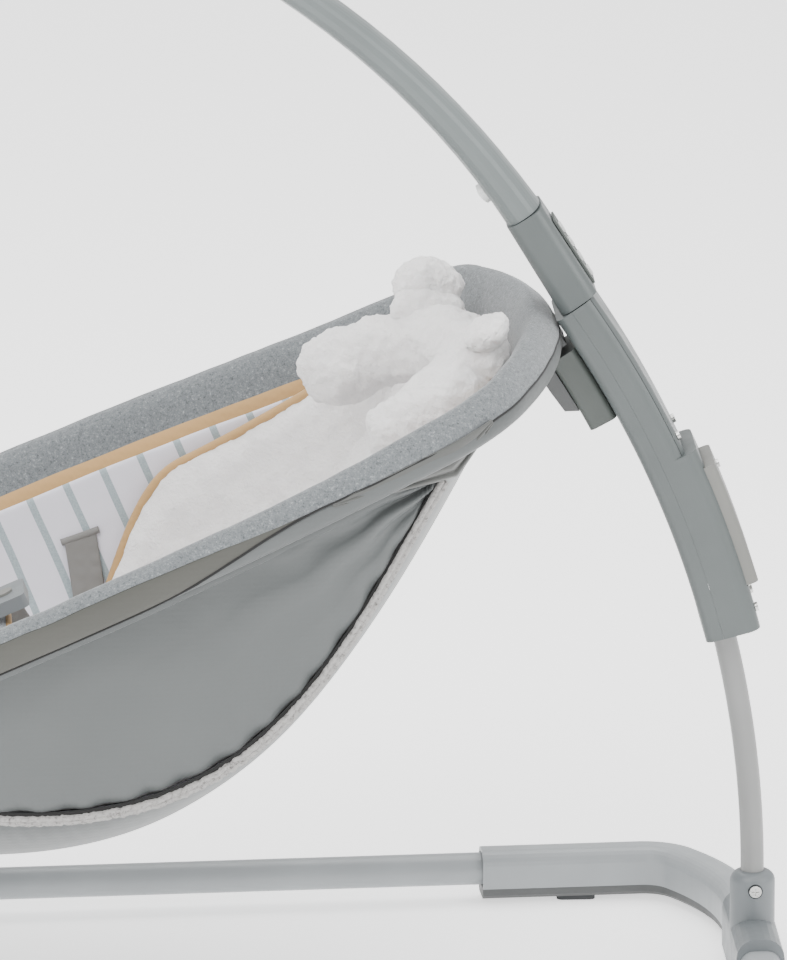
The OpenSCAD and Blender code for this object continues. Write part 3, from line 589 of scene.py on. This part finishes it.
def make_corner_flap(name, side):
    """Folded triangle of cloth between the rim and the gathered corner of a side panel."""
    rows = []
    for i in range(91):
        s = mix(BAND_MEET, FLAP_END, i / 90)
        far = BAND_MEET if s > GATHER[0] else FLAP_END
        w = (far - s) / (far - GATHER[0])
        low_u, low_v = mix(0.6, 23.0, w), mix(-5.0, -30.0, w)
        row = []
        for j in range(33):
            g = j / 32
            fold = math.exp(-((g - 0.9) / 0.06) ** 2) - 0.8 * math.exp(-((g - 0.76) / 0.06) ** 2)
            fold += 0.7 * math.exp(-((g - 0.6) / 0.08) ** 2) - 0.4 * math.exp(-((g - 0.42) / 0.08) ** 2)
            u = mix(0.4, low_u, g ** 1.5) - 2.4 * math.sqrt(w) * fold + 1.0 * w * hum(s, g * 40, side, 0.05)
            row.append(seat_point(s, side * rim_half_width(s, u), mix(-2.5, low_v, g)))
        rows.append(row)
    flap = lattice(name, rows)
    thicken(flap, 0.0012, 0)
    subdivide(flap, 1)
    finish_piece(flap, "flap", "seat", "grey_nylon")


def bucket_rows(s0, s1, ns, t0, t1, nt, inset, top, shift=None, close=None):
    """Rows of bucket points; close is the depth to which a last row at each end rises."""
    rows = []
    for i in range(ns + 1):
        s = s0 + (s1 - s0) * i / ns
        row = []
        for j in range(nt + 1):
            t = t0 + (t1 - t0) * j / nt
            p = bucket(s, t, inset, top)
            if shift:
                p = shift(s, t, p)
            row.append(p)
        rows.append(row)
    if close is not None:
        rows.insert(0, [(s0 - 2, y * 0.97, max(v, -close)) for s, y, v in rows[0]])
        rows.append([(s1 + 2, y * 0.97, max(v, -close)) for s, y, v in rows[-1]])
    return [[seat_point(*p) for p in row] for row in rows]


GATHER = (93.0, -26.0)


def pleat_at(s, v, side):
    """Depth in millimetres of the folds that fan out from the gathered corner."""
    ds, dv = s - GATHER[0], v - GATHER[1]
    reach = math.hypot(ds, dv)
    fan = math.atan2(dv, ds)
    fold = math.exp(-reach / 70) * smooth_step(reach, 3, 22)
    level = math.exp(-((fan + 0.08) / 0.34) ** 2)
    crest = math.sin(24 * fan + 3.0 * hum(reach, 0, side, 0.03))
    return fold * (0.35 + 0.9 * level) * 4.6 * math.copysign(abs(crest) ** 0.7, crest)


def make_side_panel(name, side, node):
    def shift(s, t, p):
        """Soft waves, the fan of pleats and the puckered edge along the seam."""
        f = abs(t) * 2 - 1
        belly = 2.6 * hum(s, p[2], side * 40, 0.012) + 1.0 * hum(s, p[2], side * 7, 0.04)
        near_seam = math.exp(-((f - 0.02) / 0.16) ** 2)
        pucker = 1.5 * math.sin(s * 0.24 + 4 * hum(s, 0, side, 0.02)) + 1.8 * hum(s, 0, side * 3, 0.09)
        tuck = -4.5 * math.exp(-(f / 0.05) ** 2)
        out = belly + pleat_at(s, p[2], side) + near_seam * pucker + tuck
        return p[0], p[1] + side * out, p[2] + 1.2 * near_seam * hum(s, 2, side, 0.12)
    rows = bucket_rows(90, 630, 174, side * 0.512, side * 1.0, 56, 0, 13.5, shift)
    panel = lattice(name, rows)
    thicken(panel, 0.0016, 0)
    finish_piece(panel, "grey_nylon", "seat", "grey_nylon", node)
    hem = []
    for i in range(131):
        s = 118 + (612 - 118) * i / 130
        row = []
        for v, out in ((-15.0, 1.5), (-17.5, 2.6), (-21.5, 2.9), (-24.2, 2.0), (-24.6, 0.6)):
            y = bucket(s, side * 0.99, 0, -v)[1]
            row.append(seat_point(s, y + side * (out + 0.5 * hum(s, v, side, 0.03)), v))
        hem.append(row)
    strip = lattice(name.replace("cloth", "hem"), hem)
    thicken(strip, 0.0012, 0)
    subdivide(strip, 1)
    finish_piece(strip, "grey_nylon", "seat", "grey_nylon")


def make_tag():
    """Small folded label loop where the side panel is gathered."""
    rows = []
    for a in (-3.2, 3.2):
        rows.append([seat_point(GATHER[0] - 2 + a * 0.6, -(wall_at(GATHER[0], 0) + y), GATHER[1] + 4 + v)
                     for y, v in ((0, 2), (2.2, 1.2), (3.2, -1.4), (2.4, -4), (0.4, -3.2))])
    tag = lattice("gather_tag", rows)
    thicken(tag, 0.0008, 0)
    return finish_piece(tag, "tan", "seat", "restraint_fabric")


def make_bottom_panel():
    def shift(s, t, p):
        edge = smooth_step(abs(t), 0.36, 0.5)
        ruffle = edge * (1.6 * hum(s * 6, p[1], 2, 0.05) + 0.9 * math.sin(s * 0.55 + 3 * hum(s, 0, 0, 0.03)))
        return p[0], p[1], p[2] + ruffle + 2.0 * hum(s, p[1], 20, 0.012)
    rows = bucket_rows(32, 640, 150, -0.5, 0.5, 44, 0.5, 0, shift, close=13)
    panel = lattice("bottom_cloth", rows)
    thicken(panel, 0.002, 0)
    subdivide(panel, 1)
    return finish_piece(panel, "grey_nylon", "seat", "grey_nylon", "bottom_panel")


def make_seam_ruffle(name, side):
    """Two crowded strands of gathered seam allowance along each side seam, over a near-black tube that is painted
    shade for the gap in the seam.
    """
    for strand, drop, r0 in (("a", -2.8, 2.3), ("b", -5.6, 1.9)):
        rows = []
        for i in range(361):
            s = 104 + (632 - 104) * i / 360
            q = bucket(s, side * 0.505, -1.0, 0)
            slope = seam_depth(s + 2) - seam_depth(s - 2)
            tang = math.hypot(4, slope)
            ds, dv = drop * slope / tang, drop * 4 / tang
            rough = 1 - 0.7 * smooth_step(250 - s, 0, 90)
            jag = (1.9 * hum(s * 3, side * 11, 1, 0.09) + 1.4 * hum(s * 9, side * 5, 4, 0.12)) * rough
            row = []
            for k in range(10):
                a = 2 * math.pi * k / 10
                r = r0 + 1.1 * hum(s * 9, k * 4, side + r0, 0.22) * rough
                along = s + ds * 0.9 + r * math.cos(a) * slope / tang * 0.5
                out = q[1] + side * (0.5 + r * math.sin(a))
                row.append(seat_point(along, out, q[2] + dv + jag + r * math.cos(a)))
            rows.append(row)
        ruffle = lattice(name + "_" + strand, rows, wrap_cols=True, caps=True)
        finish_piece(ruffle, "gathered", "seat", "grey_nylon")
    # near-black tube between the side panel's edge and the ruffles: painted shade for the gap in the seam
    path = [seat_point(s, bucket(s, side * 0.507, -0.2, 0)[1], bucket(s, side * 0.507, -0.2, 0)[2] - 0.6)
            for s in np.linspace(106, 630, 160)]
    gap = tube(name + "_thread", path, lambda f: 0.0005 + 0.0011 * math.sin(math.pi * f) ** 0.5, 8)
    finish_piece(gap, "dark_thread", "seat", "grey_nylon")


def make_liner():
    def shift(s, t, p):
        return p[0], p[1], p[2] + 1.6 * hum(s, p[1], 50, 0.02)
    rows = bucket_rows(40, 634, 100, -1.0, 1.0, 90, 7.0, 20, shift, close=16)
    liner = lattice("liner_cloth", rows)
    thicken(liner, 0.003, 0)
    subdivide(liner, 1)
    return finish_piece(liner, "striped_liner", "seat", "striped_liner", "seat_liner")


def fluff(obj, clump=2.2, pile=0.9):
    """Pushes a dense mesh in and out so that its outline looks like short pile; depths in millimetres."""
    def shift(co, normal):
        big = noise.noise(co * 55) * clump
        small = noise.noise(co * 190) * pile + noise.noise(co * 420) * pile * 0.6
        return normal * ((big + small) * MM)
    move_points(obj, shift)


PAD_S0, PAD_S1 = 112.0, 562.0


def pad_half(s):
    """Half width of the pile pad in bucket places: the whole back, then a strip under the hips."""
    return mix(0.87, 0.4, smooth_step(s, 275, 445))


def make_seat_pad():
    """White pile pad down the back and seat, with a tan bound edge."""
    ns, nt = 150, 120
    rows = []
    for i in range(ns + 1):
        s = mix(PAD_S0, PAD_S1, i / ns)
        half = pad_half(s)
        top, under = [], []
        for j in range(nt + 1):
            g = -1 + 2 * j / nt
            inward = smooth_step(min(s - PAD_S0, PAD_S1 - s), -1, 26)
            border = math.sqrt(inward * smooth_step(1 - abs(g), -0.01, 0.1))
            quilt = 0.5 + 0.5 * math.cos(2 * math.pi * (s - 150) / 74)
            h = 11.0 * border * (1 - 0.25 * quilt ** 6) + 2.0
            top.append(seat_point(*bucket(s, half * g, 12.5 + h, 0)))
            under.append(seat_point(*bucket(s, half * g, 12.2, 0)))
        rows.append(top + under[::-1])
    pad = lattice("plush_seat_pad", rows, wrap_cols=True, caps=True)
    fluff(pad, 1.8, 0.8)
    finish_piece(pad, "white_plush", "seat", "white_plush", "seat_pad")
    down = np.linspace(PAD_S0, PAD_S1, 110)
    edge = [(PAD_S0, t) for t in np.linspace(-pad_half(PAD_S0), pad_half(PAD_S0), 50)]
    edge += [(s, pad_half(s)) for s in down[1:]]
    edge += [(PAD_S1, t) for t in np.linspace(pad_half(PAD_S1), -pad_half(PAD_S1), 30)[1:]]
    edge += [(s, -pad_half(s)) for s in down[::-1][1:-1]]
    points = [seat_point(*bucket(s, t, mix(10.5, 14.0, smooth_step(s, PAD_S0, 190)), 0)) for s, t in edge]
    bound = tube("plush_pad_binding", points, 0.0036, 10, closed=True)
    finish_piece(bound, "tan", "seat", "restraint_fabric")


def blob(name, centre, axes, rings=48, turns=72):
    """Ellipsoid with given half axes, each a vector."""
    rows = []
    for i in range(1, rings):
        q = math.pi * i / rings
        rows.append([centre + axes[0] * (math.sin(q) * math.cos(a)) + axes[1] * (math.sin(q) * math.sin(a))
                     + axes[2] * math.cos(q) for a in [2 * math.pi * k / turns for k in range(turns)]])
    return lattice(name, rows, wrap_cols=True, caps=True)


def make_head_support():
    """White horseshoe roll round the head with two floppy round ears."""
    cs, cy, cv, ring_r, roll_r = 132.0, -10.0, 3.0, 70.0, 24.0
    turn, lean = math.radians(-13), math.radians(8)

    def place(ds, y, v):
        y, v = y * math.cos(lean) - v * math.sin(lean), y * math.sin(lean) + v * math.cos(lean)
        s = ds * math.cos(turn) - y * math.sin(turn)
        w = ds * math.sin(turn) + y * math.cos(turn)
        return seat_point(cs + s, cy + w, cv + v)

    rows, n = [], 190
    for i in range(n + 1):
        f = i / n
        q = math.radians(70 + 220 * f)
        end = math.sqrt(max(0.0, 1 - abs(2 * f - 1) ** 12)) + 0.02
        r = roll_r * min(1.0, end) * (1 + 0.06 * math.sin(5 * q))
        rows.append([place((ring_r + r * math.cos(a)) * math.cos(q), (ring_r + r * math.cos(a)) * math.sin(q),
                           r * math.sin(a)) for a in [2 * math.pi * k / 72 for k in range(72)]])
    roll = lattice("plush_head_roll", rows, wrap_cols=True, caps=True)
    fluff(roll, 4.0, 1.7)
    finish_piece(roll, "white_plush", "seat", "white_plush", "head_support")
    for name, side, tip, size, rise in (
            ("plush_ear_left", -1, Vector((0.75, -0.3, 0.45)), (0.016, 0.017, 0.012), 32),
            ("plush_ear_right", 1, Vector((0.1, 0.15, 1.0)), (0.025, 0.019, 0.015), 27)):
        centre = place(-76, side * 64, rise)
        up = tip.normalized()
        across = Vector((0, 1, 0)) if side < 0 else Vector((0.92, 0.38, 0))
        out = across - up * up.dot(across)
        out.normalize()
        front = up.cross(out).normalized()
        ear = blob(name, centre, (out * size[0], up * size[1], front * size[2]), 50, 76)

        def fold(co, normal, c=centre, d=front, u=up):
            local = co - c
            dip = math.exp(-(local.length / 0.012) ** 2) * 0.005
            return d * (dip * (-1 if local.dot(d) > 0 else 0.2) + max(0.0, local.dot(u)) ** 2 * 9)

        move_points(ear, fold)
        fluff(ear, 2.2, 1.5)
        finish_piece(ear, "white_plush", "seat", "white_plush")
        root = blob(name.replace("ear", "ear_root"), place(-68, side * 56, 14),
                    (out * size[0] * 1.05, up * 0.020, front * 0.017), 36, 54)
        fluff(root, 3.0, 1.6)
        finish_piece(root, "white_plush", "seat", "white_plush")


RESTRAINT_S = 400
RESTRAINT_V, RESTRAINT_R = -138, 95
STRAP_END_S, STRAP_END_T = RESTRAINT_S - 42, 0.8
STRAP_HALF, STRAP_V, LINER_FACE = 11.5, -41, 9.5


def restraint_point(a, y, r):
    """Point of the restraint's arc at angle a, half-width place y and radius r."""
    return seat_point(RESTRAINT_S + 10 + r * math.cos(a), y, RESTRAINT_V + r * math.sin(a))


def make_restraint():
    """Padded crotch restraint with a tan edge, and its two waist straps with welts at their ends."""
    a0, a1, half = math.radians(4), math.radians(90), 41.0
    rows = []
    for i in range(71):
        f = i / 70
        a = a0 + (a1 - a0) * f
        wide = half * (0.72 + 0.28 * smooth_step(f, 0.15, 0.6)) * (1 - 0.18 * smooth_step(f, 0.9, 1.0))
        end = math.sqrt(smooth_step(min(f, 1 - f), -0.01, 0.06))
        top, under = [], []
        for j in range(41):
            g = -1 + 2 * j / 40
            puff = 6.2 * end * math.sqrt(max(0.0, 1 - abs(g) ** 5)) + 0.5
            quilt = 1.3 * math.exp(-((f - 0.62) / 0.02) ** 2)
            top.append(restraint_point(a, wide * g, RESTRAINT_R + puff - quilt + 0.6 * hum(i, j * 2, 3, 0.2)))
            under.append(restraint_point(a, wide * g, RESTRAINT_R - puff * 0.8))
        rows.append(top + under[::-1])
    pad = lattice("restraint_cushion", rows, wrap_cols=True, caps=True)
    finish_piece(pad, "restraint_fabric", "seat", "restraint_fabric", "restraint_pad")
    path = []
    for f, side in [(f, 1) for f in np.linspace(0, 1, 50)] + [(f, -1) for f in np.linspace(1, 0, 50)]:
        wide = half * (0.72 + 0.28 * smooth_step(f, 0.15, 0.6)) * (1 - 0.18 * smooth_step(f, 0.9, 1.0))
        path.append(restraint_point(a0 + (a1 - a0) * f, side * (wide + 0.4), RESTRAINT_R + 0.2))
    finish_piece(tube("restraint_binding", path, 0.0026, 10, closed=True), "tan", "seat", "restraint_fabric")
    for name, side in (("waist_strap_left", -1), ("waist_strap_right", 1)):
        strap_rows = []
        for i in range(81):
            f = i / 80
            s, t = mix(RESTRAINT_S + 8, STRAP_END_S, f), mix(0.1, STRAP_END_T, f)
            inset = mix(29, LINER_FACE, smooth_step(t, pad_half(s) - 0.04, pad_half(s) + 0.05))
            wall = Vector(bucket(s, side * t, inset, 0))
            hold = 1 - smooth_step(f, 0.0, 0.5)
            p = wall.lerp(Vector((RESTRAINT_S + 12, side * (36 + 60 * f), STRAP_V)), hold)
            strap_rows.append([seat_point(p.x + STRAP_HALF * g, p.y, p.z + 0.8 * hum(f * 60, g, side, 0.1))
                               for g in (-1, -0.9, -0.45, 0, 0.45, 0.9, 1)])
        strap = lattice(name, strap_rows)
        thicken(strap, 0.0019, 0)
        subdivide(strap, 1)
        replaced = ["waist_straps"] if side > 0 else []
        finish_piece(strap, "webbing", "seat", "webbing", *replaced)
        welt = [seat_point(*bucket(STRAP_END_S + x, side * STRAP_END_T, LINER_FACE - 0.5, 0))
                for x in np.linspace(-STRAP_HALF - 2, STRAP_HALF + 2, 16)]
        finish_piece(tube(name + "_welt", welt, 0.0024, 10), "webbing", "seat", "webbing")


def make_toys():
    """Two round plush toys that hang from the bar's crossbar."""
    for node, key in (("toy_left", "white_plush"), ("toy_right", "grey_plush")):
        low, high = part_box(node)
        mid = (low + high) / 2
        r = 0.0255
        centre = Vector((mid.x, mid.y, low.z + 0.026))
        body = blob(node + "_plush", centre, [Vector(axis) * r for axis in ((1, 0, 0), (0, 1, 0), (0, 0, 1))],
                    60, 90)
        fluff(body, 1.0, 0.7)
        finish_piece(body, key, node, key, node)
        for side in (-1, 1):
            ear = blob(f"{node}_ear_{side + 1}", centre + Vector((0, side * 0.0185, 0.0195)),
                       (Vector((0.0055, 0, 0)), Vector((0, 0.0095, 0)), Vector((0, 0, 0.0095))), 24, 36)
            fluff(ear, 0.5, 0.5)
            finish_piece(ear, key, node, key)
        ring = [Vector((mid.x + 0.0068 * math.cos(a), mid.y, high.z - 0.0078 + 0.0068 * math.sin(a)))
                for a in [2 * math.pi * k / 40 for k in range(40)]]
        loop_rows = []
        for k, p in enumerate(ring):
            a = 2 * math.pi * k / 40
            out = Vector((math.cos(a), 0, math.sin(a)))
            half = Vector((0, 0.0045, 0))
            loop_rows.append([p + out * 0.0007 + half, p + out * 0.0007 - half,
                              p - out * 0.0004 - half, p - out * 0.0004 + half])
        loop = lattice(node + "_loop", loop_rows, wrap_rows=True, wrap_cols=True)
        finish_piece(loop, "webbing", node, "webbing")
        tape = [[Vector((mid.x + x, mid.y + y, z)) for x, y in ((0.0007, -0.003), (0.0007, 0.003),
                                                                   (-0.0007, 0.003), (-0.0007, -0.003))]
                for z in np.linspace(centre.z + r - 0.002, high.z - 0.0148, 8)]
        finish_piece(lattice(node + "_tape", tape, wrap_cols=True, caps=True), "webbing", node, "webbing")


def make_seat_fabric():
    make_rim_cover()
    make_rim_tape()
    make_rim_band()
    make_side_panel("side_cloth_left", -1, "side_panel_left")
    make_side_panel("side_cloth_right", 1, "side_panel_right")
    make_corner_flap("corner_flap_left", -1)
    make_corner_flap("corner_flap_right", 1)
    make_tag()
    make_bottom_panel()
    make_seam_ruffle("seam_ruffle_left", -1)
    make_seam_ruffle("seam_ruffle_right", 1)
    make_liner()
    make_seat_pad()
    make_head_support()
    make_restraint()


make_seat_fabric()
make_toys()


# ---------------------------------------------------------------- camera, light and floor
VIEW_AZIMUTH, VIEW_ELEVATION = math.radians(-3.2), math.radians(15.03)
VIEW_DISTANCE, VIEW_FOCAL_PX = 8.0, 12176
FRAME_LONG_SIDE = 960
SENSOR = 36


def make_camera():
    back = Vector((math.sin(VIEW_AZIMUTH) * math.cos(VIEW_ELEVATION),
                   -math.cos(VIEW_AZIMUTH) * math.cos(VIEW_ELEVATION), math.sin(VIEW_ELEVATION)))
    target = Vector((HUB_X - 0.2395, 0, 0.3462))
    data = bpy.data.cameras.new("camera")
    data.lens = VIEW_FOCAL_PX / FRAME_LONG_SIDE * SENSOR
    data.sensor_width = SENSOR
    data.clip_start, data.clip_end = 0.05, 50
    cam = bpy.data.objects.new("camera", data)
    bpy.context.scene.collection.objects.link(cam)
    cam.rotation_mode = "QUATERNION"
    cam.location = target + back * VIEW_DISTANCE
    cam.rotation_quaternion = (-back).to_track_quat("-Z", "Y")
    bpy.context.scene.camera = cam


def make_light(name, place, aim_at, size, power):
    data = bpy.data.lights.new(name, "AREA")
    data.energy = power
    data.shape = "RECTANGLE"
    data.size, data.size_y = size
    lamp = bpy.data.objects.new(name, data)
    bpy.context.scene.collection.objects.link(lamp)
    lamp.location = place
    lamp.rotation_mode = "QUATERNION"
    lamp.rotation_quaternion = (Vector(aim_at) - Vector(place)).to_track_quat("-Z", "Y")


FLOOR_GLOW = 1.1


def make_stage():
    world = bpy.data.worlds.new("studio")
    bpy.context.scene.world = world
    world.use_nodes = True
    background = world.node_tree.nodes["Background"]
    background.inputs["Color"].default_value = (1, 1, 1, 1)
    background.inputs["Strength"].default_value = 1.2
    floor = lattice("floor", [[Vector((x, y, 0)) for x in (-8, 0, 8)] for y in (-8, 0, 8)])
    mat, _, shader, _ = nodes_of("floor_paper", (0.9, 0.9, 0.9), 0.6, specular=0.2)
    shader.inputs["Emission Color"].default_value = (1, 1, 1, 1)
    shader.inputs["Emission Strength"].default_value = FLOOR_GLOW
    floor.data.materials.append(mat)
    make_light("key", (-1.2, -1.8, 2.4), (0, 0, 0.3), (1.8, 1.8), 80)
    make_light("fill", (2.2, -1.2, 1.6), (0, 0, 0.3), (1.6, 1.6), 35)
    make_light("top", (0, 0.6, 2.8), (0, 0, 0), (2.5, 2.5), 75)


make_camera()
make_stage()
